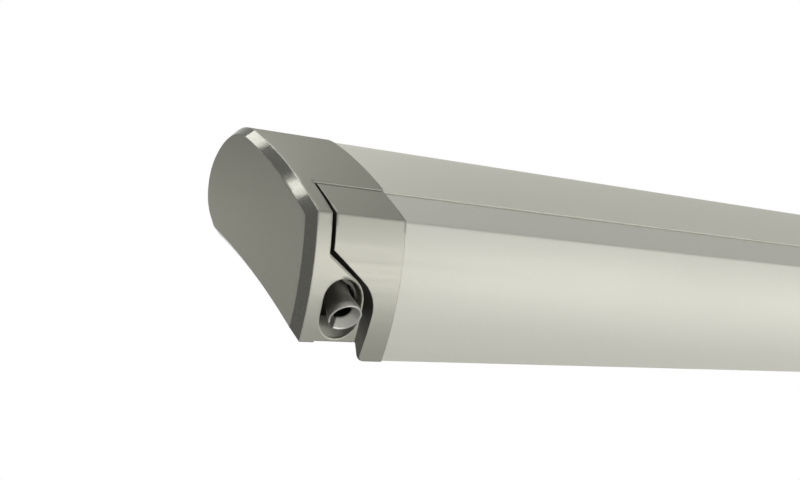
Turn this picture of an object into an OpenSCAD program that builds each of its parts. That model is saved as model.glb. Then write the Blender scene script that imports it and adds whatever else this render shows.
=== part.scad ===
// Roll out awning for a camper roof, drawn closed.
// Sections are drawn with y running back and z up from the outer crease of the front.
// x is measured from mid length, and place() moves the section onto the bracket land.

/* [Overall] */
// length over both end plates
length = 2600; // [2400:10:3000]
// length of each end cap
cap_len = 59; // [58:0.5:62]
// how far the caps stand proud of the profiles
cap_step = 1.2; // [0.8:0.1:1.5]
// chamfer round the end plates
plate_chamfer = 5; // [3:0.5:5.5]
// width of the full height strip of an end cap
plate_w = 13.6; // [12:0.2:14]
// general gap between parts that move past each other
gap = 0.5; // [0.4:0.05:0.6]
// radial running clearance of pins and shafts
run = 0.08; // [0.05:0.01:0.1]

/* [Profiles] */
// wall of the cassette profile
cassette_wall = 2.4; // [1.8:0.1:2.6]
// wall of the lead rail skin
rail_wall = 2; // [1.6:0.1:2.2]
// wall of the end caps and rail caps
cap_wall = 2.4; // [2:0.1:2.6]
// webs inside the lead rail
web_t = 1.6; // [1.2:0.1:1.8]
// width of the bracket land
land_w = 34; // [32:1:36]
// thread core radius of the bracket holes
land_hole_r = 3.4; // [2.5:0.1:4.2]
// spacing of the bracket holes
land_pitch = 600; // [500:10:640]

/* [Roller and cloth] */
// outside radius of the roller tube
roller_r = 24; // [22:0.25:24.5]
// wall of the roller tube
roller_wall = 1.5; // [1.2:0.1:2.5]
// thickness of the cloth
cloth_t = 0.45; // [0.35:0.05:0.45]
// length of cloth wound on the roller
cloth_len = 2050; // [1800:10:2100]
// distance of the cloth's side edges from the cap ends
cloth_side = 20; // [12:1:40]
// radius of the roller's shafts
shaft_r = 6; // [5:0.25:7]

/* [Crank drive] */
// slope of the crank axis
crank_angle = 52; // [51:0.25:53]
// distance of the crank axis from the end plate
crank_x = 27; // [26.5:0.25:27.5]
// module of the worm gear
gear_m = 1.5; // [1.4:0.02:1.5]
// teeth of the worm wheel
wheel_teeth = 22; // [20:1:22]
// pitch radius of the worm
worm_r = 7; // [6.8:0.1:7.2]
// outside radius of the eyelet's rim
eyelet_r = 9.4; // [9:0.05:9.6]
// distance of the eyelet's rim from the middle of the worm
eyelet_end = 129; // [128:0.25:130]
// width across flats of the hex socket
hex_af = 8.5; // [7:0.1:9]
// radius of the round nose of the socket
socket_r = 5.2; // [5.2:0.05:5.8]

/* [Arms] */
// fall of the arms towards the front
pitch = 6; // [5:0.25:6.5]
// width of the arm tubes
arm_w = 19; // [17:0.25:19.5]
// height of the arm tubes
arm_h = 34; // [30:0.5:34]
// wall of the arm tubes
arm_wall = 2; // [1.6:0.1:2.4]
// radius of the arm pins
arm_pin_r = 4; // [3:0.1:5]
// distance of the shoulders from the ends
shoulder_in = 120; // [110:1:140]
// distance of the elbows from mid length
elbow_mid = 150; // [120:1:200]

/* [Legs] */
// width of the outer leg tube
leg_w = 17; // [16:0.1:17]
// height of the outer leg tube
leg_h = 13.4; // [12.6:0.1:13.4]
// wall of the leg tubes
leg_wall = 1.2; // [1:0.05:1.3]
// distance of the leg hinges from the ends
leg_in = 95; // [92:1:100]
// length of the outer leg tube
leg_len = 1060; // [900:10:1060]
// radius of the leg hinge pins
leg_pin_r = 3; // [2.5:0.1:3.5]

/* [Hidden] */
half = length / 2;
cap_x = half - cap_len;
eps = 0.01;
$fn = 48;

// points of an arc by heading, turning clockwise round centre c
function arc(c, r, h0, h1, n) = [for (i = [0:n]) let (h = h0 + (h1 - h0) * i / n) c + r * [-sin(h), cos(h)]];
function cut(p, a, b) = [for (i = [a:b]) p[i]];
function rev(p) = [for (i = [len(p) - 1:-1:0]) p[i]];
function right_of(a, b) = let (d = (b - a) / norm(b - a)) [d[1], -d[0]];
function mitre(p, a, b, t) = p + t * (a + b) / (1 + a * b);
// closed outline moved inwards by t
function inset(p, t) = let (n = len(p)) [for (i = [0:n - 1])
    mitre(p[i], right_of(p[(i + n - 1) % n], p[i]), right_of(p[i], p[(i + 1) % n]), t)];
// open path moved to its right by t
function beside(p, t) = let (n = len(p)) [for (i = [0:n - 1])
    mitre(p[i], right_of(p[max(i - 1, 0)], p[max(i, 1)]),
        right_of(p[min(i, n - 2)], p[min(i + 1, n - 1)]), t)];
function strip(p, t0, t1) = concat(beside(p, t0), rev(beside(p, t1)));
// rectangle with rounded corners round a centre
function round_box(c, w, h, r, n = 5) = [for (k = [0:3], i = [0:n])
    let (a = 90 * k + 90 * i / n, s = [k == 0 || k == 3 ? 1 : -1, k < 2 ? 1 : -1])
    c + [s[0] * (w / 2 - r), s[1] * (h / 2 - r)] + r * [cos(a), sin(a)]];

// outline of the end plates
brow_r = 400;
brow_chord = 105.113;
brow_dir = 36.85;
brow_a = asin(brow_chord / 2 / brow_r);
brow_h0 = brow_dir + brow_a;
brow_h1 = brow_dir - brow_a;
seam_h = brow_h0 - 0.6172 * brow_a;
seam_gap = 0.12;
seam_drop = 0.9;
crown_r = 50;
crown_h1 = -37;
back_r = 30;
back_h1 = -128.5;
front_r = 146;
front_c = [145.8, 7.4];
front_h0 = 92.9;
foot_h = 120.6;
rail_h = 124.84;
brow_c = brow_r * [sin(brow_h0), -cos(brow_h0)];
brow_end = brow_c + brow_r * [-sin(brow_h1), cos(brow_h1)];
crown_c = brow_end + crown_r * [sin(brow_h1), -cos(brow_h1)];
crown_end = crown_c + crown_r * [-sin(crown_h1), cos(crown_h1)];
back_c = crown_end + back_r * [sin(crown_h1), -cos(crown_h1)];
back_end = back_c + back_r * [-sin(back_h1), cos(back_h1)];
tail = back_end + 12 * [cos(back_h1), sin(back_h1)];
foot = front_c + front_r * [-sin(foot_h), cos(foot_h)];
chord = norm(foot - tail);
along = (tail - foot) / chord;
inward = [-along[1], along[0]];
mid = (tail + foot) / 2;
belly_r = 700;
belly_a = asin(chord / 2 / belly_r);
belly_c = mid - inward * belly_r * cos(belly_a);
function belly(k) = let (a = belly_a * (1 - 2 * k)) belly_c + belly_r * (inward * cos(a) + along * sin(a));
floor_k = 0.68;
outer = concat(
    arc(brow_c, brow_r, brow_h0, seam_h, 4),
    cut(arc(brow_c, brow_r, seam_h, brow_h1, 8), 1, 8),
    cut(arc(crown_c, crown_r, brow_h1, crown_h1, 14), 1, 14),
    cut(arc(back_c, back_r, crown_h1, back_h1, 18), 1, 18),
    [tail],
    [for (i = [1:8]) belly(floor_k * i / 8)],
    [for (i = [1:4]) belly(floor_k + (1 - floor_k) * i / 4)],
    cut(arc(front_c, front_r, foot_h, front_h0, 8), 1, 7)
);
i_seam = 4;
i_floor = 53;
i_foot = 57;
i_column = 63;
// front path of the lead rail, from its bottom edge over the crease to the seam
front_path = concat(
    arc(front_c, front_r, rail_h, front_h0, 10),
    [for (i = [1:4]) arc(brow_c, brow_r - seam_drop * i / 4, brow_h0, seam_h + seam_gap, 4)[i]]
);

// bracket land: a flat on the chord of the underside
land_in = 9;
function on_land(t, m) = mid + along * t + inward * m;
module place() {
    translate([0, -mid[0], -mid[1]]) children();
}
module along_x(x0, x1) {
    rotate([90, 0, 90]) translate([0, 0, x0]) linear_extrude(x1 - x0) children();
}
module along_y(y0, y1) {
    translate([0, y1, 0]) rotate([90, 0, 0]) linear_extrude(y1 - y0) children();
}
module shaft(x0, x1, r, c) {
    translate([x0, c[0], c[1]]) rotate([0, 90, 0]) cylinder(h = x1 - x0, r = r);
}
module pin_y(x, z, y0, y1, r) {
    translate([x, y1, z]) rotate([90, 0, 0]) cylinder(h = y1 - y0, r = r);
}
module on_land_axis(x, t, m) {
    translate([x, on_land(t, m)[0], on_land(t, m)[1]])
        rotate([atan2(-inward[0], inward[1]), 0, 0]) children();
}

// arms: rows measured back from the crease in the tilted arm plane
row_up = 62;
row_low = 41;
row_mid = (row_up + row_low) / 2;
h_mid = -7.5;
lug_r = 9.7;
base_bolt = 14.5;
base_t = 3;
eye_r = 8.8;
eye_h0 = -20.1;
eye_h1 = 4.1;
lug_h0 = -27;
lug_h1 = 11;
lug_in0 = eye_h0 - 0.2;
lug_in1 = eye_h1 + 0.2;
shoulder_x = -half + shoulder_in;
elbow_x = -elbow_mid;
function tilted(y, h) = [y * cos(pitch) - h * sin(pitch), y * sin(pitch) + h * cos(pitch)];
module in_arm() {
    rotate([pitch, 0, 0]) children();
}

// roller and drive
axis_c = [108, 33];
cloth_r = sqrt(roller_r * roller_r + cloth_len * cloth_t / PI);
wheel_r = gear_m * wheel_teeth / 2;
gear_a = wheel_r + worm_r;
worm_up = [-sin(crank_angle), cos(crank_angle)];
worm_dir = [cos(crank_angle), sin(crank_angle)];
worm_c = axis_c + gear_a * worm_up;
worm_x = -half + crank_x;
worm_lead = 2 * PI * gear_m;
worm_core = worm_r - 1.13 * gear_m;
worm_tip = worm_r + 0.87 * gear_m;
stem_r = 5;
wheel_w = 8;
module on_worm() {
    translate([worm_x, worm_c[0], worm_c[1]]) rotate([crank_angle - 90, 0, 0]) children();
}

// hem groove of the lead rail
hem_c = [21.8, 10.2];
lip_c = outer[i_seam] + [4.99, -2.62];
lip_r = 2.4;

// lead rail webs and leg rows
web_z = -24;
leg_y0 = 29.6;
leg_y = leg_y0 + leg_w / 2;
box_y = 25.4;
lip_y = 49;
left_row = web_z - web_t - gap - leg_h / 2;
right_row = left_row - leg_h - 3.8;
leg_x = -half + leg_in;
tube_x0 = leg_x + 14;
tube_x1 = tube_x0 + leg_len;
clamp_x1 = tube_x1 + 44;
inner_w = leg_w - 2 * leg_wall - 1.2;
inner_h = leg_h - 2 * leg_wall - 1.2;
foot_x = clamp_x1 + 15;

module cassette_profile() {
    skin = inset(outer, cap_step);
    core = inset(outer, cap_step + cassette_wall);
    color([0.72, 0.72, 0.69]) place() difference() {
        union() {
            along_x(-cap_x, cap_x)
                polygon(concat(cut(skin, i_seam, i_floor), rev(cut(core, i_seam, i_floor))));
            along_x(-cap_x, cap_x)
                polygon([for (i = [0:15]) lip_c + lip_r * [cos(22.5 * i), sin(22.5 * i)]]);
            along_x(-cap_x, cap_x) polygon([on_land(-land_w / 2, 0), on_land(land_w / 2, 0),
                on_land(land_w / 2 - 2, land_in), on_land(-land_w / 2 + 2, land_in)]);
            along_x(-cap_x, cap_x) box(core[i_floor][0] + 1, core[i_floor][0] + 2.8,
                core[i_floor][1] - 0.5, core[i_floor][1] + 5);
        }
        for (x = [-1.5, -0.5, 0.5, 1.5] * land_pitch)
            on_land_axis(x, 0, -1) cylinder(h = land_in + 2, r = land_hole_r);
        for (s = [-1, 1], x = [-base_bolt, base_bolt])
            on_land_axis(s * shoulder_x + x, 0, 1.5) cylinder(h = land_in, r = 2.6);
    }
}

module chamfered_plate() {
    n = len(outer);
    face = inset(outer, plate_chamfer);
    polyhedron(
        points = concat([for (p = face) [-half, p[0], p[1]]],
            [for (p = outer) [-half + plate_chamfer, p[0], p[1]]]),
        faces = concat([[for (i = [n - 1:-1:0]) i]], [[for (i = [0:n - 1]) n + i]],
            [for (i = [0:n - 1]) [(i + 1) % n, n + (i + 1) % n, n + i, i]])
    );
}
column_w = 38;
function column_xz(left, low) = [for (p = [[left, -11.9 - left * 0.7], [14.1, -21.8], [30.2, -33.09],
    [32.9, -35.2], [35.1, -37.5], [36.7, -40.2], [37.7, -43.3], [column_w, -46.6],
    [column_w, low], [left, low]]) [p[0] - half, p[1]]];
foot_step = 0.9;
module end_cap() {
    inner = inset(outer, cap_wall);
    face = cut(outer, i_foot, i_column);
    chamfered_plate();
    along_x(-half + plate_chamfer - eps, -half + plate_w) difference() {
        polygon(outer);
        polygon(inner);
    }
    along_x(-half + plate_w - eps, -cap_x)
        polygon(concat(cut(outer, i_seam, i_floor), rev(cut(inner, i_seam, i_floor))));
    difference() {
        along_x(-half + plate_w - eps, -half + column_w)
            polygon(concat(cut(outer, i_floor, i_foot), rev(cut(inner, i_floor, i_foot))));
        translate([-half, foot[0] - 10, foot[1] - 10]) cube([50, 40, 10 + foot_step]);
    }
    difference() {
        intersection() {
            along_x(-half + plate_w - 1, -half + 45)
                polygon(strip(face, 0, 10));
            along_y(-5, 60) polygon(column_xz(10, foot[1] + foot_step));
        }
        intersection() {
            along_x(-half + plate_w - 2, -half + 46)
                polygon(strip(face, cap_wall + 0.2, 13));
            along_y(-5, 60) polygon(inset(column_xz(0, -90), cap_wall));
        }
    }
}
// crank opening, square to the front skin
mouth_h = 113;
mouth_c = front_c + front_r * [-sin(mouth_h), cos(mouth_h)];
mouth_r = 11.7;
mouth_d = 5;
mouth_x = crank_x - 1.8;
module crank_opening() {
    slot = [for (k = [0, 1], i = [0:12]) let (a = 180 * k + 15 * i)
        [mouth_r * cos(a), mouth_r * sin(a) + (k == 0 ? mouth_d : -mouth_d)]];
    translate([-half + mouth_x, mouth_c[0], mouth_c[1]]) rotate([mouth_h, 0, 0]) translate([0, 0, -7])
        linear_extrude(12) polygon(slot);
}
// scoop below the eyelet, a half pipe that runs in along the crank axis
module crank_scoop() {
    low = mouth_c - mouth_d * [cos(mouth_h), sin(mouth_h)];
    intersection() {
        translate([-half + mouth_x, low[0], low[1]]) rotate([crank_angle - 90, 0, 0]) difference() {
            translate([0, 0, -16]) cylinder(h = 29, r = mouth_r + 1.8);
            translate([0, 0, -17]) cylinder(h = 31, r = mouth_r);
            translate([-20, -40.3, -18]) cube([40, 40, 33]);
        }
        along_x(-half + plate_chamfer + 1, -half + column_w - 0.7) polygon(inset(outer, 0.7));
    }
}
module left_end_cap() {
    color([0.5, 0.5, 0.47]) place() difference() {
        union() {
            difference() {
                end_cap();
                crank_opening();
            }
            crank_scoop();
        }
        on_worm() translate([0, 0, -eyelet_end + 4]) cylinder(h = 34, r = eyelet_r + 0.2);
    }
}
module right_end_cap() {
    color([0.5, 0.5, 0.47]) mirror([1, 0, 0]) place() end_cap();
}

module gearbox_housing() {
    x0 = -half + plate_chamfer;
    x1 = worm_x + 16;
    r = wheel_r + gear_m + 1;
    color([0.22, 0.22, 0.22]) place() difference() {
        union() {
            shaft(x0, x1, r + 2, axis_c);
            on_worm() translate([0, 0, -34]) cylinder(h = 44.5, r = worm_tip + 1.5);
        }
        shaft(x0 + 4, x1 - 4, r, axis_c);
        shaft(x0 + 1.5, x1 + 1, shaft_r + run, axis_c);
        on_worm() translate([0, 0, -12]) cylinder(h = 21, r = worm_tip + 0.4);
        on_worm() translate([0, 0, -35]) cylinder(h = 30, r = stem_r + run);
    }
}
module idler_bracket() {
    color([0.22, 0.22, 0.22]) place() difference() {
        shaft(cap_x + 8, half - plate_chamfer, 16, axis_c);
        shaft(cap_x + 7, half - plate_chamfer - 6, shaft_r + run, axis_c);
    }
}

module shoulder_bracket() {
    low = tilted(row_up - 2, lug_h0 + 0.5);
    difference() {
        union() {
            along_x(shoulder_x - lug_r, shoulder_x + 9) polygon([
                tilted(row_up + 9.3, lug_h1), tilted(row_up + 14, lug_h1), tilted(row_up + 14.5, -2),
                on_land(10, land_in + base_t), on_land(10, land_in),
                on_land(-12, land_in), on_land(-12, land_in + base_t),
                low, tilted(row_up - 2, lug_in0 - 0.3), tilted(row_up + 9.3, lug_in0 - 0.3)]);
            along_x(shoulder_x - base_bolt - 5.5, shoulder_x + base_bolt + 5.5)
                polygon([on_land(10, land_in + base_t), on_land(10, land_in),
                    on_land(-12, land_in), on_land(-12, land_in + base_t)]);
            in_arm() shoulder_lugs();
        }
        in_arm() translate([shoulder_x, row_up, lug_h0 - 9])
            cylinder(h = lug_h1 - lug_h0 + 12, r = arm_pin_r);
        for (x = [-base_bolt, base_bolt])
            on_land_axis(shoulder_x + x, 0, land_in - 1) cylinder(h = 8, r = 3);
    }
}
module shoulder_lugs() {
    for (h = [[lug_h0, lug_in0], [lug_in1, lug_h1]]) {
        translate([shoulder_x, row_up, h[0]]) cylinder(h = h[1] - h[0], r = lug_r);
        translate([shoulder_x - lug_r, row_up, h[0]]) cube([lug_r + 9, 13, h[1] - h[0]]);
    }
}
// pin with a flat head on the upper lug
module arm_pin(x, y) {
    translate([x, y, lug_h0 + 0.5]) cylinder(h = lug_h1 - lug_h0 - 0.5, r = arm_pin_r - 0.02);
    translate([x, y, lug_h1]) cylinder(h = 2, r = arm_pin_r + 2);
}
module bolt_pair() {
    for (x = [-base_bolt, base_bolt]) {
        on_land_axis(shoulder_x + x, 0, land_in + base_t + 0.02) cylinder(h = 2.2, r = 4.5, $fn = 6);
        on_land_axis(shoulder_x + x, 0, 2) cylinder(h = land_in + 2, r = 2.5);
    }
}
module left_shoulder_bracket() {
    color([0.3, 0.3, 0.3]) place() shoulder_bracket();
}
module right_shoulder_bracket() {
    color([0.3, 0.3, 0.3]) mirror([1, 0, 0]) place() shoulder_bracket();
}
module left_shoulder_pin() {
    color([0.7, 0.7, 0.7]) place() in_arm() arm_pin(shoulder_x, row_up);
}
module right_shoulder_pin() {
    color([0.7, 0.7, 0.7]) mirror([1, 0, 0]) place() in_arm() arm_pin(shoulder_x, row_up);
}
module left_shoulder_bolts() {
    color([0.7, 0.7, 0.7]) place() bolt_pair();
}
module right_shoulder_bolts() {
    color([0.7, 0.7, 0.7]) mirror([1, 0, 0]) place() bolt_pair();
}

module ring_pts(r, n) {
    polygon([for (i = [0:n - 1]) axis_c + r * [cos(360 * i / n), sin(360 * i / n)]]);
}
module roller_tube() {
    color([0.75, 0.75, 0.75]) place() along_x(-cap_x + 3, cap_x - 3) difference() {
        ring_pts(roller_r, 72);
        ring_pts(roller_r - roller_wall, 72);
    }
}
module cloth_roll() {
    color([0.6, 0.62, 0.63]) place() along_x(-cap_x + cloth_side, cap_x - cloth_side) difference() {
        ring_pts(cloth_r, 72);
        ring_pts(roller_r + 0.02, 72);
    }
}
// plug with a collar that seats on the end of the roller tube
module roller_plug(x_end) {
    shaft(-x_end, -cap_x + 1, shaft_r, axis_c);
    shaft(-cap_x + 1, -cap_x + 3, roller_r - 1, axis_c);
    along_x(-cap_x + 3 - eps, -cap_x + 40) ring_pts(roller_r - roller_wall - 0.05, 72);
}
module drive_plug() {
    color([0.2, 0.2, 0.2]) place() roller_plug(half - plate_chamfer - 2);
}
module idler_plug() {
    color([0.2, 0.2, 0.2]) mirror([1, 0, 0]) place() roller_plug(half - plate_chamfer - 7);
}
wheel_turn = atan(worm_lead / (2 * PI * worm_r));
wheel_twist = tan(wheel_turn) * wheel_w / wheel_r * 180 / PI;
function tooth(a, r, w) = let (b = w / 2 / r * 180 / PI) [[r, a - b], [r, a + b]];
module wheel_shape() {
    step = 360 / wheel_teeth;
    pts = [for (i = [0:wheel_teeth - 1]) let (a = 90 + crank_angle + (i + 0.5) * step,
        f = tooth(a, wheel_r - 1.13 * gear_m, 2.1 * gear_m), p = tooth(a, wheel_r, 1.3 * gear_m),
        t = tooth(a, wheel_r + 0.87 * gear_m, 0.7 * gear_m))
        each [f[0], p[0], t[0], t[1], p[1], f[1]]];
    polygon([for (q = pts) q[0] * [cos(q[1]), sin(q[1])]]);
}
module worm_wheel() {
    color([0.75, 0.6, 0.3]) place() difference() {
        translate([worm_x - wheel_w / 2, axis_c[0], axis_c[1]]) rotate([90, 0, 90]) rotate(-wheel_twist / 2)
            linear_extrude(wheel_w, twist = -wheel_twist, slices = 6) wheel_shape();
        shaft(worm_x - wheel_w, worm_x + wheel_w, shaft_r + 0.02, axis_c);
    }
}
worm_len = 17;
worm_turn = 360 * worm_len / worm_lead;
function thread_r(a) = let (w = abs(a) / 360 * worm_lead)
    max(worm_core, min(worm_tip, worm_r + (0.65 * gear_m - w) / tan(20)));
module thread_shape() {
    polygon([for (i = [0:39]) let (a = 9 * i, b = (a + 90) % 180 - 90)
        thread_r(b) * [cos(a + 90), sin(a + 90)]]);
}
module worm_shaft() {
    color([0.6, 0.6, 0.6]) place() on_worm() union() {
        translate([0, 0, -worm_len / 2]) rotate(-worm_turn / 2)
            linear_extrude(worm_len, twist = -worm_turn, slices = 40) thread_shape();
        translate([0, 0, -worm_len / 2 - 1.5]) cylinder(h = 2, r = stem_r + 1);
        translate([0, 0, -104]) cylinder(h = 104 - worm_len / 2, r = stem_r);
    }
}
module crank_eyelet() {
    neck_r = eyelet_r - 2;
    socket = -eyelet_end + 5.5;
    color([0.25, 0.25, 0.24]) place() on_worm() difference() {
        rotate_extrude() polygon([[0, -eyelet_end], [eyelet_r, -eyelet_end],
            [eyelet_r, -eyelet_end + 3], [neck_r, -eyelet_end + 12], [neck_r, -104],
            [stem_r + 1.2, -101], [stem_r + 1.2, -98], [0, -98]]);
        translate([0, 0, -104]) cylinder(h = 11, r = stem_r + 0.02);
        translate([0, 0, socket + 5]) cylinder(h = 7, r = hex_af / 2 / cos(30), $fn = 6);
        rotate_extrude() polygon([[0, -eyelet_end - 1], [eyelet_r - 0.3, -eyelet_end - 1],
            [socket_r, socket], [socket_r, socket + 6], [0, socket + 6]]);
        rotate(134) translate([0.5, -2.6, -eyelet_end - 2]) cube([eyelet_r + 1, 5.2, 13]);
    }
}

function tube_pts(y, t) = round_box([y, h_mid], arm_w - 2 * t, arm_h - 2 * t, 7 - t);
module arm_tube(y, x0, x1) {
    in_arm() along_x(x0, x1) difference() {
        polygon(tube_pts(y, 0));
        polygon(tube_pts(y, arm_wall));
    }
}
// eye on the centre line of a tube, with a flange and a spigot inside the tube
module plain_knuckle(x, y) {
    in_arm() difference() {
        union() {
            translate([x, y, eye_h0]) cylinder(h = eye_h1 - eye_h0, r = eye_r);
            translate([x, y - 7.5, eye_h0]) cube([11, 15, eye_h1 - eye_h0]);
            along_x(x + 10.6, x + 12) polygon(tube_pts(y, 0));
            along_x(x + 12 - eps, x + 40) polygon(tube_pts(y, arm_wall + 0.05));
        }
        translate([x, y, eye_h0 - 1]) cylinder(h = eye_h1 - eye_h0 + 2, r = arm_pin_r + run);
    }
}
module elbow_fork() {
    in_arm() difference() {
        union() {
            for (h = [[lug_h0, lug_in0], [lug_in1, lug_h1]]) {
                translate([elbow_x, row_mid, h[0]]) cylinder(h = h[1] - h[0], r = lug_r);
                translate([elbow_x, 0, h[0]]) linear_extrude(h[1] - h[0]) polygon([
                    [-13, row_up - 9.3], [-13, row_up + 9.3], [-4, row_up + 9.3], [6, row_mid + 7.6],
                    [0, row_mid], [-9.7, row_mid]]);
            }
            translate([elbow_x - 13, row_up, lug_h0]) cube([7, 9.3, lug_h1 - lug_h0]);
            translate([elbow_x - 14, row_up - 9.3, lug_h0]) cube([2, 18.6, lug_h1 - lug_h0]);
            along_x(elbow_x - 42, elbow_x - 14 + eps) polygon(tube_pts(row_up, arm_wall + 0.05));
        }
        translate([elbow_x, row_mid, lug_h0 - 1]) cylinder(h = lug_h1 - lug_h0 + 2, r = arm_pin_r);
    }
}
module elbow_knuckle() {
    in_arm() difference() {
        union() {
            translate([elbow_x, row_mid, eye_h0]) cylinder(h = eye_h1 - eye_h0, r = eye_r);
            translate([elbow_x, 0, eye_h0]) linear_extrude(eye_h1 - eye_h0) polygon([
                [-13, row_low - 7.5], [-13, row_low + 8.5], [-6.2, row_mid + 6.2],
                [0, row_mid], [0, row_mid - 8.8]]);
            along_x(elbow_x - 14, elbow_x - 12.6) polygon(tube_pts(row_low, 0));
            along_x(elbow_x - 42, elbow_x - 14 + eps) polygon(tube_pts(row_low, arm_wall + 0.05));
        }
        translate([elbow_x, row_mid, eye_h0 - 1]) cylinder(h = eye_h1 - eye_h0 + 2, r = arm_pin_r + run);
    }
}
module left_upper_arm_tube() {
    color([0.8, 0.8, 0.78]) place() arm_tube(row_up, shoulder_x + 12, elbow_x - 14);
}
module right_upper_arm_tube() {
    color([0.8, 0.8, 0.78]) mirror([1, 0, 0]) place() arm_tube(row_up, shoulder_x + 12, elbow_x - 14);
}
module left_forearm_tube() {
    color([0.8, 0.8, 0.78]) place() arm_tube(row_low, shoulder_x + 12, elbow_x - 14);
}
module right_forearm_tube() {
    color([0.8, 0.8, 0.78]) mirror([1, 0, 0]) place() arm_tube(row_low, shoulder_x + 12, elbow_x - 14);
}
module left_shoulder_knuckle() {
    color([0.35, 0.35, 0.35]) place() plain_knuckle(shoulder_x, row_up);
}
module right_shoulder_knuckle() {
    color([0.35, 0.35, 0.35]) mirror([1, 0, 0]) place() plain_knuckle(shoulder_x, row_up);
}
module left_wrist_knuckle() {
    color([0.35, 0.35, 0.35]) place() plain_knuckle(shoulder_x, row_low);
}
module right_wrist_knuckle() {
    color([0.35, 0.35, 0.35]) mirror([1, 0, 0]) place() plain_knuckle(shoulder_x, row_low);
}
module left_elbow_fork() {
    color([0.35, 0.35, 0.35]) place() elbow_fork();
}
module right_elbow_fork() {
    color([0.35, 0.35, 0.35]) mirror([1, 0, 0]) place() elbow_fork();
}
module left_elbow_knuckle() {
    color([0.35, 0.35, 0.35]) place() elbow_knuckle();
}
module right_elbow_knuckle() {
    color([0.35, 0.35, 0.35]) mirror([1, 0, 0]) place() elbow_knuckle();
}
module left_elbow_pin() {
    color([0.7, 0.7, 0.7]) place() in_arm() arm_pin(elbow_x, row_mid);
}
module right_elbow_pin() {
    color([0.7, 0.7, 0.7]) mirror([1, 0, 0]) place() in_arm() arm_pin(elbow_x, row_mid);
}

module box(y0, y1, z0, z1) {
    polygon([[y0, z0], [y1, z0], [y1, z1], [y0, z1]]);
}
function skin_y(z) = front_c[0] - sqrt(pow(front_r - 2, 2) - pow(z - front_c[1], 2));
module rail_web(y0, y1, z0, z1) {
    along_x(-cap_x, cap_x) box(y0, y1, z0, z1);
}
module lead_rail_profile() {
    low = web_z - 34;
    color([0.82, 0.82, 0.79]) place() union() {
        along_x(-cap_x, cap_x) polygon(strip(front_path, cap_step, cap_step + rail_wall));
        along_x(-cap_x, cap_x) difference() {
            polygon([for (p = [[-4.1, -4.5], [4.1, -4.5], [4.1, 4.5], [-2.8, 4.5], [-4.1, 3.2]]) hem_c + p]);
            box(hem_c[0] - 2.8, hem_c[0] + 2.8, hem_c[1] - 3, hem_c[1] + 3);
            box(hem_c[0], hem_c[0] + 6, hem_c[1] - 1.2, hem_c[1] + 1.2);
        }
        rail_web(22, 24, web_z - 1, hem_c[1] - 3.5);
        rail_web(skin_y(web_z), lip_y + web_t, web_z - web_t, web_z);
        rail_web(lip_y, lip_y + web_t, web_z - 14, web_z - 0.5);
        rail_web(box_y, box_y + web_t, low - 0.5, web_z - 0.5);
        rail_web(skin_y(low), box_y + web_t, low - web_t, low);
    }
}
function cap_xz(right) = [for (p = [[16, 40], [right, 40], [right, -90], [46.8, -90], [46.8, -76],
    [45.2, -75.5], [44.1, -74.4], [43.7, -72.8], [44.9, -53], [45, -50], [44.4, -46.6], [43.2, -43.2],
    [41.3, -40], [39, -37.2], [36, -34.8], [16, -19.6]]) [p[0] - half, p[1]]];
rail_cap_sec = concat(front_path, [[24, -5], [16, -12], [16, -34], [33.5, -47], [33.5, -63], [29.5, -66]]);
module rail_cap() {
    difference() {
        intersection() {
            along_x(-half + 15, -cap_x) polygon(rail_cap_sec);
            along_y(-5, 60) polygon(cap_xz(cap_len));
        }
        intersection() {
            along_x(-half + 14, -cap_x + 1) polygon(inset(rail_cap_sec, cap_wall));
            along_y(-5, 60) polygon(inset(cap_xz(cap_len + 10), cap_wall));
        }
    }
}
module left_rail_cap() {
    color([0.72, 0.72, 0.69]) place() rail_cap();
}
module right_rail_cap() {
    color([0.72, 0.72, 0.69]) mirror([1, 0, 0]) place() rail_cap();
}
module wrist_bracket() {
    difference() {
        union() {
            along_x(shoulder_x - lug_r, shoulder_x + 9) polygon([[24, web_z + 0.4],
                [24, hem_c[1] - 5], hem_c + [4.7, -5], hem_c + [5.9, -1.2],
                tilted(row_low - 9.3, lug_h1), tilted(row_low - 9.3, lug_h0 + 0.6)]);
            in_arm() for (h = [[lug_h0 + 0.6, lug_in0], [lug_in1, lug_h1]]) {
                translate([shoulder_x, row_low, h[0]]) cylinder(h = h[1] - h[0], r = lug_r);
                translate([shoulder_x - lug_r, row_low - 9.8, h[0]]) cube([lug_r + 9, 9.8, h[1] - h[0]]);
            }
        }
        in_arm() translate([shoulder_x, row_low, lug_h0 - 1])
            cylinder(h = lug_h1 - lug_h0 + 2, r = arm_pin_r);
    }
}
module left_wrist_bracket() {
    color([0.3, 0.3, 0.3]) place() wrist_bracket();
}
module right_wrist_bracket() {
    color([0.3, 0.3, 0.3]) mirror([1, 0, 0]) place() wrist_bracket();
}
module left_wrist_pin() {
    color([0.7, 0.7, 0.7]) place() in_arm() arm_pin(shoulder_x, row_low);
}
module right_wrist_pin() {
    color([0.7, 0.7, 0.7]) mirror([1, 0, 0]) place() in_arm() arm_pin(shoulder_x, row_low);
}
module hem_rod() {
    color([0.4, 0.4, 0.4]) place() along_x(-cap_x + cloth_side, cap_x - cloth_side)
        polygon(round_box(hem_c + [-0.2, 0], 5, 6, 2, 4));
}
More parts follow.
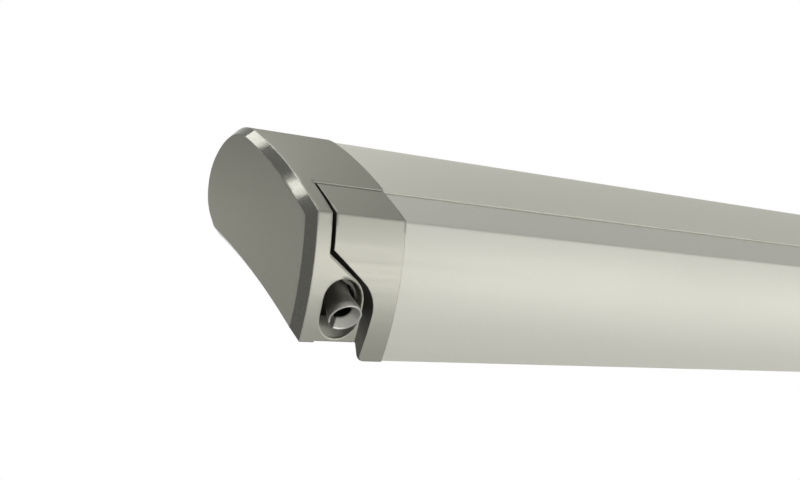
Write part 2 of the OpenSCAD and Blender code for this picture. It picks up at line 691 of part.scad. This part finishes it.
// cloth run from the hem groove, under the lip, to the roll
lip_low = lip_c + (lip_r + cloth_t + 0.5) * [0.3, -0.954];
roll_d = norm(axis_c - lip_low);
roll_a = atan2(axis_c[1] - lip_low[1], axis_c[0] - lip_low[0]) + asin((cloth_r + 0.6) / roll_d);
roll_t = sqrt(roll_d * roll_d - pow(cloth_r + 0.6, 2));
module cloth_front() {
    path = [[hem_c[0] + 2.6, hem_c[1]], [hem_c[0] + 4.6, hem_c[1] + 0.2], lip_low,
        lip_low + roll_t * [cos(roll_a), sin(roll_a)]];
    color([0.6, 0.62, 0.63]) place() along_x(-cap_x + cloth_side, cap_x - cloth_side)
        polygon(strip(path, -cloth_t / 2, cloth_t / 2));
}

// leg bracket: two cheeks and an end wall under the rail web
module leg_bracket(row) {
    top = web_z - web_t;
    low = row - leg_h / 2 - 3.5;
    x0 = leg_x - 19;
    difference() {
        union() {
            for (y = [box_y + web_t, leg_y0 + leg_w + 0.3])
                translate([x0, y, low]) cube([34, y < 40 ? leg_y0 - 0.3 - y : lip_y - y, top - low]);
            translate([x0, box_y + web_t, low]) cube([4, lip_y - box_y - web_t, top - low]);
        }
        pin_y(leg_x, row, box_y, lip_y + 3, leg_pin_r);
    }
}
module leg_pin(row, head) {
    pin_y(leg_x, row, box_y + web_t, lip_y, leg_pin_r - 0.02);
    if (head)
        pin_y(leg_x, row, lip_y, lip_y + web_t, leg_pin_r + 1.5);
}
function leg_sec(row, t) = round_box([leg_y, row], leg_w - 2 * t, leg_h - 2 * t, 2.6 - t);
function inner_sec(row, t) = round_box([leg_y, row], inner_w - 2 * t, inner_h - 2 * t, 1.8 - t);
module leg_head(row) {
    difference() {
        union() {
            pin_y(leg_x, row, leg_y0, leg_y0 + leg_w, leg_h / 2);
            translate([leg_x, leg_y0, row - leg_h / 2]) cube([9, leg_w, leg_h]);
            along_x(leg_x + 9 - eps, tube_x0) polygon(leg_sec(row, 0));
            along_x(tube_x0 - eps, tube_x0 + 26) polygon(leg_sec(row, leg_wall + 0.05));
        }
        pin_y(leg_x, row, leg_y0 - 1, leg_y0 + leg_w + 1, leg_pin_r + run);
    }
}
module leg_tube(row) {
    along_x(tube_x0, tube_x1) difference() {
        polygon(leg_sec(row, 0));
        polygon(leg_sec(row, leg_wall));
    }
}
lever_r = 1.2;
lever_z = leg_h / 2 + 1.35;
module clamp_block(row) {
    difference() {
        union() {
            along_x(tube_x1, clamp_x1) polygon(leg_sec(row, 0));
            for (y = [-5.6, 3.6])
                translate([tube_x1 + 4, leg_y + y, row - leg_h / 2 - 2.6]) cube([6, 2, 3]);
        }
        along_x(tube_x1 - 1, clamp_x1 + 1) polygon(inner_sec(row, -0.25));
        pin_y(tube_x1 + 7, row - lever_z, leg_y - 6, leg_y + 6, lever_r + run);
    }
}
// flat lever that lies against the clamp block, with trunnions in its two ears
module clamp_lever(row) {
    x = tube_x1 + 7;
    z = row - lever_z;
    pin_y(x, z, leg_y - 5.4, leg_y + 5.4, lever_r);
    translate([x, leg_y - 3.4, z - 1.2]) cube([6, 6.8, 2.2]);
    translate([x + 5, leg_y - 5.5, z - 1.2]) cube([29, 11, 2.2]);
}
module leg_inner(row) {
    difference() {
        union() {
            along_x(tube_x0 + 30, clamp_x1 + 5) difference() {
                polygon(inner_sec(row, 0));
                polygon(inner_sec(row, leg_wall));
            }
            along_x(clamp_x1 - 20, clamp_x1 + 7) polygon(inner_sec(row, 0));
            translate([clamp_x1 + 6, leg_y - 3, row - 4.6]) cube([9, 6, 9.2]);
            pin_y(foot_x, row, leg_y - 3, leg_y + 3, 4.6);
        }
        pin_y(foot_x, row, leg_y - 4, leg_y + 4, 2 + run);
    }
}
module leg_foot(row) {
    difference() {
        union() {
            pin_y(foot_x, row, leg_y0, leg_y0 + leg_w, leg_h / 2 - 0.2);
            translate([foot_x, leg_y0, row - leg_h / 2]) cube([26, leg_w, leg_h - 0.4]);
        }
        translate([foot_x - 8, leg_y - 3.3, row - 8]) cube([14, 6.6, 16]);
    }
    pin_y(foot_x, row, leg_y - 4, leg_y + 4, 2);
}
module left_leg_bracket() {
    color([0.3, 0.3, 0.3]) place() leg_bracket(left_row);
}
module right_leg_bracket() {
    color([0.3, 0.3, 0.3]) mirror([1, 0, 0]) place() leg_bracket(right_row);
}
module left_leg_pin() {
    color([0.7, 0.7, 0.7]) place() leg_pin(left_row, false);
}
module right_leg_pin() {
    color([0.7, 0.7, 0.7]) mirror([1, 0, 0]) place() leg_pin(right_row, true);
}
module left_leg_head() {
    color([0.25, 0.25, 0.25]) place() leg_head(left_row);
}
module right_leg_head() {
    color([0.25, 0.25, 0.25]) mirror([1, 0, 0]) place() leg_head(right_row);
}
module left_leg_tube() {
    color([0.78, 0.78, 0.76]) place() leg_tube(left_row);
}
module right_leg_tube() {
    color([0.78, 0.78, 0.76]) mirror([1, 0, 0]) place() leg_tube(right_row);
}
module left_clamp_block() {
    color([0.25, 0.25, 0.25]) place() clamp_block(left_row);
}
module right_clamp_block() {
    color([0.25, 0.25, 0.25]) mirror([1, 0, 0]) place() clamp_block(right_row);
}
module left_clamp_lever() {
    color([0.35, 0.35, 0.35]) place() clamp_lever(left_row);
}
module right_clamp_lever() {
    color([0.35, 0.35, 0.35]) mirror([1, 0, 0]) place() clamp_lever(right_row);
}
module left_leg_inner() {
    color([0.78, 0.78, 0.76]) place() leg_inner(left_row);
}
module right_leg_inner() {
    color([0.78, 0.78, 0.76]) mirror([1, 0, 0]) place() leg_inner(right_row);
}
module left_foot() {
    color([0.2, 0.2, 0.2]) place() leg_foot(left_row);
}
module right_foot() {
    color([0.2, 0.2, 0.2]) mirror([1, 0, 0]) place() leg_foot(right_row);
}

cassette_profile();
left_end_cap();
right_end_cap();
gearbox_housing();
idler_bracket();
left_shoulder_bracket();
right_shoulder_bracket();
left_shoulder_pin();
right_shoulder_pin();
left_shoulder_bolts();
right_shoulder_bolts();
roller_tube();
drive_plug();
idler_plug();
worm_wheel();
cloth_roll();
worm_shaft();
crank_eyelet();
left_upper_arm_tube();
left_shoulder_knuckle();
left_elbow_fork();
left_elbow_pin();
left_forearm_tube();
left_elbow_knuckle();
left_wrist_knuckle();
right_upper_arm_tube();
right_shoulder_knuckle();
right_elbow_fork();
right_elbow_pin();
right_forearm_tube();
right_elbow_knuckle();
right_wrist_knuckle();
lead_rail_profile();
left_rail_cap();
right_rail_cap();
left_wrist_bracket();
right_wrist_bracket();
left_wrist_pin();
right_wrist_pin();
left_leg_bracket();
right_leg_bracket();
left_leg_pin();
right_leg_pin();
hem_rod();
cloth_front();
left_leg_head();
left_leg_tube();
left_clamp_block();
left_clamp_lever();
left_leg_inner();
left_foot();
right_leg_head();
right_leg_tube();
right_clamp_block();
right_clamp_lever();
right_leg_inner();
right_foot();
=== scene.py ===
"""Looks of a roll out awning for a camper roof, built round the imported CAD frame."""

import math

import bpy
from mathutils import Matrix, Vector


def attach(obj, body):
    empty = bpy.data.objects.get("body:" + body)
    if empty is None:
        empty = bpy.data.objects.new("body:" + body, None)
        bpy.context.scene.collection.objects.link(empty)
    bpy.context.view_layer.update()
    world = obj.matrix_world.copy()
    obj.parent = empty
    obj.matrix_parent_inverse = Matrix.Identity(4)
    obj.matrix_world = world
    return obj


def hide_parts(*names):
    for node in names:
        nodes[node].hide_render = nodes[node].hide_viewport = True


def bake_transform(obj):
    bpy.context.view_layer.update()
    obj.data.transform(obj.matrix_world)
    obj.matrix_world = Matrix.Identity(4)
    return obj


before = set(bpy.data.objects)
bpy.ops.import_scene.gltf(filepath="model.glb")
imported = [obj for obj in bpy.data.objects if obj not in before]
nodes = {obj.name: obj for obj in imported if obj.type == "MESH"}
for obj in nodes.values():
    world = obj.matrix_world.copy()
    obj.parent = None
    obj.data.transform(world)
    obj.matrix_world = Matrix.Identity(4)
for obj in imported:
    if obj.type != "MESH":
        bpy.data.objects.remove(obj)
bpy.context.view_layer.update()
scene = bpy.context.scene

# places in the row frame, in metres
END_X = 1.3                              # both end plates, as a distance from the middle
BAND_FROM, BAND_TO = 1.29515, 1.29985    # the chamfer round an end plate
CREASE = (-0.07838, 0.02979)             # (y, z) of the long crease of the front
SEAM = (-0.04925, 0.04896)               # (y, z) of the seam above the lead rail
LINE_REACH = 0.007                       # how far from either line an edge is widened
CRANK_AXIS = (0, 0.615661, 0.788011)
SOCKET = (-1.273, -0.063392, -0.018092)  # on the crank's axis, in the eyelet's socket
SOCKET_R = 0.0062
SOCKET_MOUTH = (-0.0032, -0.002)         # along the axis from SOCKET: no shade, then full painted shade
SCOOP = (-1.2748, -0.065019, -0.02446)   # on the axis of the scoop below the eyelet
SCOOP_R = 0.01172

# the column's slope: its height falls with the distance from the end plate
SLOPE_FALL, SLOPE_TOP = -0.7012, 0.017876
SLOPE_COS = 0.8187
SLOPE_FROM = 0.0138
SLOPE_REACH = 0.0042

# edge radii in metres
FINE_EDGE = 0.0006
CAP_EDGE = 0.001
LINE_EDGE = 0.0026
SLOPE_EDGE = 0.003


# shader helpers

class Tree:
    """Small wrapper that adds nodes and links to one material or world."""

    def __init__(self, owner):
        owner.use_nodes = True
        self.mat = owner
        self.nt = owner.node_tree
        self.bsdf = self.nt.nodes.get("Principled BSDF")

    def add(self, kind, **sets):
        n = self.nt.nodes.new("ShaderNode" + kind)
        for key, value in sets.items():
            setattr(n, key, value)
        return n

    def link(self, a, b):
        self.nt.links.new(a, b)

    def set(self, **values):
        """Plain values for the main shader; an underscore stands for a space."""
        for key, value in values.items():
            self.bsdf.inputs[key.replace("_", " ")].default_value = value

    def coords(self, scale=(1, 1, 1)):
        tex = self.add("TexCoord")
        m = self.add("Mapping")
        m.inputs["Scale"].default_value = scale
        self.link(tex.outputs["Object"], m.inputs["Vector"])
        return m.outputs["Vector"]

    def split(self, vector):
        sep = self.add("SeparateXYZ")
        self.link(vector, sep.inputs["Vector"])
        return sep.outputs

    def noise(self, scale, stretch=(1, 1, 1), detail=3.0, rough=0.55):
        n = self.add("TexNoise")
        n.inputs["Scale"].default_value = scale
        n.inputs["Detail"].default_value = detail
        n.inputs["Roughness"].default_value = rough
        self.link(self.coords(stretch), n.inputs["Vector"])
        return n.outputs["Fac"]

    def span(self, value, low, high, a=0.0, b=1.0):
        m = self.add("MapRange")
        m.inputs["From Min"].default_value = low
        m.inputs["From Max"].default_value = high
        m.inputs["To Min"].default_value = a
        m.inputs["To Max"].default_value = b
        self.link(value, m.inputs["Value"])
        return m.outputs["Result"]

    def choose(self, mask, a, b):
        """The number a where the mask is 0, and b where it is 1."""
        return self.span(mask, 0.0, 1.0, a, b)

    def maths(self, op, a, b=0.0):
        m = self.add("Math", operation=op)
        for socket, v in zip(m.inputs, (a, b)):
            if isinstance(v, (int, float)):
                socket.default_value = v
            else:
                self.link(v, socket)
        return m.outputs[0]

    def mix(self, fac, a, b):
        m = self.add("Mix", data_type="RGBA")
        self.link(fac, m.inputs["Factor"])
        for socket, v in ((m.inputs["A"], a), (m.inputs["B"], b)):
            if isinstance(v, tuple):
                socket.default_value = (*v, 1)
            else:
                self.link(v, socket)
        return m.outputs["Result"]

    def mix_shader(self, fac, a, b):
        m = self.add("MixShader")
        for socket, v in zip(m.inputs, (fac, a, b)):
            self.link(v, socket)
        return m.outputs[0]

    def tone(self):
        """What drives the base colour now."""
        return self.bsdf.inputs["Base Color"].links[0].from_socket

    def colour(self, value):
        self.link(value, self.bsdf.inputs["Base Color"])

    def rough(self, value):
        self.link(value, self.bsdf.inputs["Roughness"])

    def bump(self, height, strength, distance, edge=0.0):
        b = self.add("Bump")
        b.inputs["Strength"].default_value = strength
        b.inputs["Distance"].default_value = distance
        self.link(height, b.inputs["Height"])
        if edge:
            round_edge = self.add("Bevel", samples=6)
            round_edge.inputs["Radius"].default_value = edge
            self.edge = round_edge.inputs["Radius"]
            self.link(round_edge.outputs["Normal"], b.inputs["Normal"])
        self.link(b.outputs["Normal"], self.bsdf.inputs["Normal"])


def material(name):
    return Tree(bpy.data.materials.new(name))


def lin(*rgb):
    """Screen colour, 0 to 255, to linear light."""
    return tuple((c / 255 / 12.92) if c < 11 else ((c / 255 + 0.055) / 1.055) ** 2.4 for c in rgb)


def shade(rgb, k):
    return tuple(c * k for c in rgb)


def streaks(axis, along, across):
    """Noise scale that draws lines along one axis."""
    return tuple(along if i == axis else across for i in range(3))


def paint(name, rgb, metallic, rough, lines=0.04, peel=0.35, edge=FINE_EDGE, axis=0):
    """Satin paint on drawn metal: fine peel, faint lines along the extrusion, uneven tone."""
    t = material(name)
    drawn = t.noise(1.0, streaks(axis, 3.0, 260.0), 2.0)
    cloud = t.noise(7.0, (1, 1, 1), 2.0)
    grain = t.noise(1500.0, (1, 1, 1), 2.0)
    tone = t.maths("ADD", t.maths("MULTIPLY", drawn, 0.5), t.maths("MULTIPLY", cloud, 0.5))
    coat = t.mix(t.span(tone, 0.35, 0.65), shade(rgb, 1 - lines), shade(rgb, 1 + lines))
    flake = t.span(grain, 0.62, 0.75)
    t.colour(t.mix(flake, coat, shade(rgb, 1.12)))
    t.rough(t.span(tone, 0.3, 0.7, rough - 0.05, rough + 0.05))
    t.set(Metallic=metallic)
    t.bump(grain, peel, 0.00002, edge)
    return t


def metal(name, rgb, rough, axis=0, brush=0.25, edge=0.0004):
    """Bare metal with brushed or turned lines."""
    t = material(name)
    lines = t.noise(1.0, streaks(axis, 6.0, 1400.0), 3.0)
    cloud = t.noise(25.0)
    t.colour(t.mix(t.span(lines, 0.3, 0.7), shade(rgb, 0.88), shade(rgb, 1.06)))
    t.rough(t.span(cloud, 0.3, 0.7, rough - 0.06, rough + 0.08))
    t.set(Metallic=1.0)
    t.bump(lines, brush, 0.00001, edge)
    return t


def moulded(name, rgb, rough, grain=900.0, edge=FINE_EDGE, depth=0.00004):
    """Moulded plastic, rubber or a coarse casting with a fine pebbled skin."""
    t = material(name)
    pebble = t.noise(grain, (1, 1, 1), 2.0)
    cloud = t.noise(18.0)
    t.colour(t.mix(t.span(cloud, 0.3, 0.7), shade(rgb, 0.85), shade(rgb, 1.12)))
    t.rough(t.span(pebble, 0.3, 0.7, rough - 0.06, rough + 0.08))
    t.bump(pebble, 0.5, depth, edge)
    return t


def wide_edge(t, narrow, line):
    """Edge radius that grows from narrow beside one long line of the section."""
    here = t.split(t.coords())
    dy = t.maths("ABSOLUTE", t.maths("SUBTRACT", here["Y"], line[0]))
    dz = t.maths("ABSOLUTE", t.maths("SUBTRACT", here["Z"], line[1]))
    near = t.maths("LESS_THAN", t.maths("MAXIMUM", dy, dz), LINE_REACH)
    return t.choose(near, narrow, LINE_EDGE)


def side_painted_shade(t, rgb):
    """Sides cut square to the front get a darker colour: painted shade, as in the groove beside
    the end cap.
    """
    facing = t.split(t.add("NewGeometry").outputs["True Normal"])
    flat = t.maths("LESS_THAN", t.maths("ABSOLUTE", facing["Y"]), 0.25)
    t.colour(t.mix(flat, t.tone(), rgb))


def near_axis(t, point, radius):
    """One within the radius round an axis along the crank, and the distance along that axis."""
    here = t.split(t.coords())
    along, square = 0.0, 0.0
    for name, start, part in zip("XYZ", point, CRANK_AXIS):
        off = t.maths("SUBTRACT", here[name], start)
        along = t.maths("ADD", t.maths("MULTIPLY", off, part), along)
        square = t.maths("ADD", t.maths("MULTIPLY", off, off), square)
    off_axis = t.maths("SUBTRACT", square, t.maths("MULTIPLY", along, along))
    return t.maths("LESS_THAN", off_axis, radius ** 2), along


def socket_painted_shade(t, rgb):
    """Painted shade: the socket beyond its mouth is darkened."""
    inside, along = near_axis(t, SOCKET, SOCKET_R)
    deep = t.span(along, *SOCKET_MOUTH)
    t.colour(t.mix(t.maths("MULTIPLY", inside, deep), t.tone(), rgb))


# materials of the shell

CAP_RGB, CAP_METALLIC, CAP_ROUGH, CAP_LINES = lin(147, 146, 137), 0.66, 0.47, 0.015
CAP_TINT = (0.12, 0.12, 0.11)

cassette_paint = paint("cassette_paint", lin(212, 211, 199), 0.12, 0.5, 0.012)
rail_paint = paint("rail_paint", lin(203, 202, 192), 0.12, 0.5, 0.012)
for coat in (cassette_paint, rail_paint):
    coat.set(Specular_Tint=(1.0, 1.0, 0.88, 1))
rail_cap_paint = paint("rail_cap_paint", CAP_RGB, CAP_METALLIC, CAP_ROUGH, CAP_LINES)
rail_cap_paint.set(Specular_Tint=(*CAP_TINT, 1))
for coat in (rail_paint, rail_cap_paint):
    coat.link(wide_edge(coat, FINE_EDGE, CREASE), coat.edge)
# painted shade: the rail cap's side walls are darkened
side_painted_shade(rail_cap_paint, lin(92, 91, 84))


def end_cap_material():
    """Metallic satin paint, with painted light in the scoop, which is lighter and less metallic
    there, and a bright machined chamfer band.
    """
    t = paint("end_cap_paint", CAP_RGB, CAP_METALLIC, CAP_ROUGH, CAP_LINES, edge=CAP_EDGE)
    here = t.split(t.coords())
    x = t.maths("ABSOLUTE", here["X"])
    band = t.maths("MULTIPLY", t.maths("GREATER_THAN", x, BAND_FROM),
                   t.maths("LESS_THAN", x, BAND_TO))
    scoop, _ = near_axis(t, SCOOP, SCOOP_R)
    brush = t.noise(1.0, streaks(0, 12, 1500), 2.0)
    bright = t.mix(t.span(brush, 0.3, 0.7), (0.1, 0.099, 0.087), (0.132, 0.131, 0.116))
    # painted light: the scoop below the eyelet is lighter and less metallic, standing in for light
    # that falls there
    coat = t.mix(scoop, t.tone(), lin(192, 191, 180))
    t.colour(t.mix(band, coat, bright))
    t.link(t.mix(band, CAP_TINT, (1.0, 1.0, 0.96)), t.bsdf.inputs["Specular Tint"])
    metallic = t.maths("SUBTRACT", t.choose(band, CAP_METALLIC, 1.0),
                       t.maths("MULTIPLY", scoop, 0.56))
    t.link(metallic, t.bsdf.inputs["Metallic"])
    t.rough(t.choose(band, CAP_ROUGH, 0.08))
    # the slope of the column is well rounded, the crease and the seam less, the rest is crisp
    end = t.maths("SUBTRACT", END_X, x)
    slope = t.maths("ADD", t.maths("MULTIPLY", end, SLOPE_FALL), SLOPE_TOP)
    below = t.maths("MULTIPLY", t.maths("SUBTRACT", slope, here["Z"]), SLOPE_COS)
    near = t.maths("LESS_THAN", t.maths("ABSOLUTE", below), SLOPE_REACH)
    on_slope = t.maths("MULTIPLY", near, t.maths("GREATER_THAN", end, SLOPE_FROM))
    lines = t.maths("MAXIMUM", wide_edge(t, CAP_EDGE, CREASE), wide_edge(t, CAP_EDGE, SEAM))
    t.link(t.maths("MAXIMUM", t.choose(on_slope, CAP_EDGE, SLOPE_EDGE), lines), t.edge)
    return t


cap_paint = end_cap_material()
eyelet_paint = paint("eyelet_metal", lin(184, 183, 175), 0.62, 0.3, 0.02, 0.3, 0.0012, 2)
# painted shade darkens the inside of the eyelet's socket
socket_painted_shade(eyelet_paint, lin(38, 38, 36))
dark_plastic = moulded("dark_plastic", lin(52, 52, 50), 0.5)
casting = moulded("casting", lin(92, 92, 90), 0.5, 520.0, 0.0008, 0.00006)
casting.set(Metallic=0.3)
steel = metal("steel", (0.56, 0.56, 0.55), 0.28, 2)
bronze = metal("bronze", (0.60, 0.42, 0.18), 0.32, 0)
arm_metal = paint("arm_anodised", lin(206, 206, 203), 0.45, 0.36, 0.03, 0.2)
tube_metal = paint("tube_anodised", lin(198, 198, 196), 0.5, 0.34, 0.03, 0.2)
rubber = moulded("rubber", lin(38, 38, 38), 0.68, 600.0)


def weave_material(name, rgb):
    """Coated awning cloth: plain weave about 0.7 mm a thread, with soft cloudy tone."""
    t = material(name)
    warp = t.add("TexWave", wave_type="BANDS", bands_direction="X")
    weft = t.add("TexWave", wave_type="BANDS", bands_direction="Y")
    for w in (warp, weft):
        w.inputs["Scale"].default_value = 225.0
        w.inputs["Distortion"].default_value = 0.6
        w.inputs["Detail"].default_value = 1.0
        t.link(t.coords(), w.inputs["Vector"])
    cross = t.maths("MULTIPLY", warp.outputs["Fac"], weft.outputs["Fac"])
    cloud = t.noise(6.0, (1, 1, 1), 4.0)
    thread = t.mix(t.span(cross, 0.0, 0.8), shade(rgb, 0.82), shade(rgb, 1.06))
    t.colour(t.mix(t.span(cloud, 0.35, 0.7), thread, shade(rgb, 0.95)))
    t.set(Roughness=0.62, Sheen_Weight=0.15)
    t.bump(cross, 0.35, 0.00012)
    return t


cloth_mat = weave_material("awning_cloth", lin(172, 175, 176))

finish = {
    "cassette_profile": cassette_paint, "lead_rail_profile": rail_paint,
    "left_end_cap": cap_paint, "right_end_cap": cap_paint,
    "left_rail_cap": rail_cap_paint, "right_rail_cap": rail_cap_paint,
    "gearbox_housing": dark_plastic, "idler_bracket": dark_plastic,
    "drive_plug": dark_plastic, "idler_plug": dark_plastic,
    "crank_eyelet": eyelet_paint, "worm_shaft": steel, "worm_wheel": bronze,
    "hem_rod": rubber, "roller_tube": arm_metal,
}
for side in ("left_", "right_"):
    for kind, mat in (
        ("shoulder_bracket", casting), ("shoulder_knuckle", casting), ("elbow_fork", casting),
        ("elbow_knuckle", casting), ("wrist_knuckle", casting), ("wrist_bracket", casting),
        ("leg_bracket", casting), ("shoulder_pin", steel), ("shoulder_bolts", steel),
        ("elbow_pin", steel), ("wrist_pin", steel), ("leg_pin", steel),
        ("upper_arm_tube", arm_metal), ("forearm_tube", arm_metal),
        ("leg_tube", tube_metal), ("leg_inner", tube_metal),
        ("leg_head", dark_plastic), ("clamp_block", dark_plastic), ("clamp_lever", dark_plastic),
        ("foot", rubber),
    ):
        finish[side + kind] = mat

# the solids get their finish, and smooth shading that breaks at real edges
for name, obj in nodes.items():
    obj.data.materials.clear()
    obj.data.materials.append(finish.get(name, cloth_mat).mat)
    if "custom_normal" in obj.data.attributes:
        obj.data.attributes.remove(obj.data.attributes["custom_normal"])
    obj.data.shade_smooth()
    weld = obj.modifiers.new("weld", "WELD")
    weld.merge_threshold = 0.000004
    crease = obj.modifiers.new("crease", "EDGE_SPLIT")
    crease.split_angle = math.radians(24)


# cloth: wound turns on the roller, and the run from the roll under the lip to the hem
# section points and lengths in millimetres, the width in metres

MID = Vector((78.3788, -29.7894))        # the row frame's origin in the section
AXIS = Vector((108.0, 33.0))             # middle of the roller
HEM = Vector((21.8, 10.2))               # middle of the hem rod
LIP = Vector((29.13, 19.17))
LIP_WALL, LIP_PLAY = 2.4, 0.5
LIP_DOWN = Vector((0.3, -0.954))
RIDGE = Vector((26.7, 16.75))            # where the cloth turns down behind the hem groove
THICK = 0.45
WIDTH = 2.442
TUBE_R = 24.0
WOUND_LENGTH = 2050.0
ROLL_R = math.sqrt(TUBE_R ** 2 + WOUND_LENGTH * THICK / math.pi)
RUN_R = ROLL_R + 0.6                     # the run leaves the roll just clear of its last turn
TURN_STEPS = 60


def at(p):
    """Section point in millimetres to (y, z) in the row frame in metres."""
    return (p[0] - MID[0]) / 1000, (p[1] - MID[1]) / 1000


def ribbon(name, path, columns):
    """A sheet that follows a section path and spans the cloth's width."""
    xs = [WIDTH * (i / columns - 0.5) for i in range(columns + 1)]
    verts = [(x, *at(p)) for p in path for x in xs]
    n = columns + 1
    faces = [(r * n + c, r * n + c + 1, r * n + n + c + 1, r * n + n + c)
             for r in range(len(path) - 1) for c in range(columns)]
    me = bpy.data.meshes.new(name)
    me.from_pydata(verts, [], faces)
    me.shade_smooth()
    obj = bpy.data.objects.new(name, me)
    scene.collection.objects.link(obj)
    me.materials.append(cloth_mat.mat)
    return obj


# the run touches the roll where a line from below the lip is tangent to it
lip_low = LIP + (LIP_WALL + THICK + LIP_PLAY) * LIP_DOWN
to_axis = AXIS - lip_low
gap = to_axis.length
lean = math.atan2(to_axis[1], to_axis[0]) + math.asin(RUN_R / gap)
run = math.sqrt(gap ** 2 - RUN_R ** 2)
touch = lip_low + run * Vector((math.cos(lean), math.sin(lean)))
start_angle = math.atan2(touch[1] - AXIS[1], touch[0] - AXIS[0])

turns = (ROLL_R - TUBE_R) / THICK
steps = int(turns * TURN_STEPS)
wound = []
for i in range(steps + 1):
    k = i / steps
    r = ROLL_R - THICK / 2 - (ROLL_R - TUBE_R - THICK) * k
    a = start_angle - 2 * math.pi * turns * k
    wound.append(AXIS + r * Vector((math.cos(a), math.sin(a))))
roll = ribbon("wound_cloth", wound, 6)
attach(roll, "roller")
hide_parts("cloth_roll")

bend = [RIDGE, Vector((26.52, 16.4)), Vector((26.5, 15.6)), Vector((26.5, 10.9)),
        Vector((26.3, 10.45)), HEM + Vector((4.0, 0.1)), HEM + Vector((2.6, 0.0))]
course = [touch.lerp(lip_low, i / 12) for i in range(13)]
course += [lip_low.lerp(RIDGE, i / 60) for i in range(1, 60)]
for one, two in zip(bend, bend[1:]):
    course += [one.lerp(two, i / 3) for i in range(3)]
course.append(bend[-1])
strip = ribbon("front_cloth", course, 24)
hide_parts("cloth_front")
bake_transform(strip)


# stage, light and camera

FLOOR_Z, FLOOR_SIZE = -2.42, 30
FLOOR_FADE = (5.0, 14.0)                 # distance from the middle where it thins out
FLOOR_GLOW, FLOOR_SHARE = 1.05, 0.7      # pale part of what the camera and mirrors see
MIRROR_WHITE, SOFT_WHITE = 0.75, 0.07    # the world in mirrors, and as a light


def flat_plane(name, size, z):
    me = bpy.data.meshes.new(name)
    h = size / 2
    me.from_pydata([(-h, -h, z), (h, -h, z), (h, h, z), (-h, h, z)], [], [(0, 1, 2, 3)])
    obj = bpy.data.objects.new(name, me)
    scene.collection.objects.link(obj)
    return obj


def floor_material():
    """Pale floor that keeps the shadow, is clear from below and has no visible edge."""
    t = material("floor")
    t.set(Base_Color=(0.86, 0.86, 0.85, 1), Roughness=0.9)
    ray = t.add("LightPath").outputs
    glow = t.add("Emission")
    glow.inputs["Strength"].default_value = FLOOR_GLOW
    clear = t.add("BsdfTransparent").outputs[0]
    seen = t.maths("MAXIMUM", ray["Is Camera Ray"], ray["Is Glossy Ray"])
    pale = t.mix_shader(t.maths("MULTIPLY", seen, FLOOR_SHARE), t.bsdf.outputs[0], glow.outputs[0])
    above = t.mix_shader(t.add("NewGeometry").outputs["Backfacing"], pale, clear)
    far = t.add("VectorMath", operation="LENGTH")
    t.link(t.coords(), far.inputs[0])
    faded = t.mix_shader(t.span(far.outputs["Value"], *FLOOR_FADE), above, clear)
    t.link(faded, t.nt.nodes["Material Output"].inputs["Surface"])
    return t


floor = flat_plane("floor", FLOOR_SIZE, FLOOR_Z)
floor.data.materials.append(floor_material().mat)


def studio_world():
    """White for the camera, nearly white in mirrors, and only a weak light."""
    world = bpy.data.worlds.new("studio")
    t = Tree(world)
    ray = t.add("LightPath").outputs
    shiny = t.maths("MAXIMUM", ray["Is Glossy Ray"], ray["Is Transmission Ray"])
    seen = t.maths("MAXIMUM", ray["Is Camera Ray"], t.maths("MULTIPLY", shiny, MIRROR_WHITE))
    sky = t.nt.nodes["Background"]
    sky.inputs["Color"].default_value = (1, 1, 1, 1)
    t.link(t.choose(seen, SOFT_WHITE, 1.0), sky.inputs["Strength"])
    return world


scene.world = studio_world()


def lamp(name, place, aim, size, power, across=(1, 0, 0)):
    """Rectangular soft lamp whose first side lies along the vector across."""
    data = bpy.data.lights.new(name, "AREA")
    data.shape = "RECTANGLE"
    data.size, data.size_y = size
    data.energy = power
    obj = bpy.data.objects.new(name, data)
    scene.collection.objects.link(obj)
    z = (Vector(place) - Vector(aim)).normalized()
    y = z.cross(Vector(across)).normalized()
    turned = Matrix((y.cross(z), y, z)).transposed().to_4x4()
    obj.matrix_world = Matrix.Translation(place) @ turned


LEFT_PART = (-1.1, 0, 0)
LEFT_END = (-1.2975, -0.06, 0.055)
RIM_ACROSS = (0.57, 0.82, 0)
lamp("key", (-1.9, -3.1, -1.5), LEFT_PART, (1.6, 1.0), 5)
lamp("fill", (1.9, -4.28, -1.27), (-0.9, 0, 0), (5.4, 2.0), 208)
lamp("top", (-1.0, 0.85, 2.45), LEFT_PART, (0.8, 0.8), 28)
# two narrow lamps that show as bright bands in the chamfer
lamp("rim_low", (-2.31, 0.79, 2.17), LEFT_END, (0.2, 0.9), 3.1, RIM_ACROSS)
lamp("rim_high", (-1.82, 1.415, 2.0), LEFT_END, (0.34, 0.9), 3.8, RIM_ACROSS)
lamp("side", (-1.6, 1.9, 0.3), LEFT_END, (0.5, 0.5), 9)

# the camera stands where the photograph was taken from
eye = Vector((-1.5297, -0.5340, -0.0694))
ahead = Vector((0.5231, 0.8368, 0.1618)).normalized()
right = ahead.cross(Vector((0, 0, 1))).normalized()
up = right.cross(ahead)
cam = bpy.data.cameras.new("camera")
cam.sensor_width = 36
cam.sensor_fit = "HORIZONTAL"
cam.lens = 45
cam.clip_start = 0.01
cam.clip_end = 200
cam_obj = bpy.data.objects.new("camera", cam)
scene.collection.objects.link(cam_obj)
turn = Matrix((right, up, -ahead)).transposed()
cam_obj.matrix_world = Matrix.Translation(eye) @ turn.to_4x4()
scene.camera = cam_obj
scene.view_settings.view_transform = "Standard"
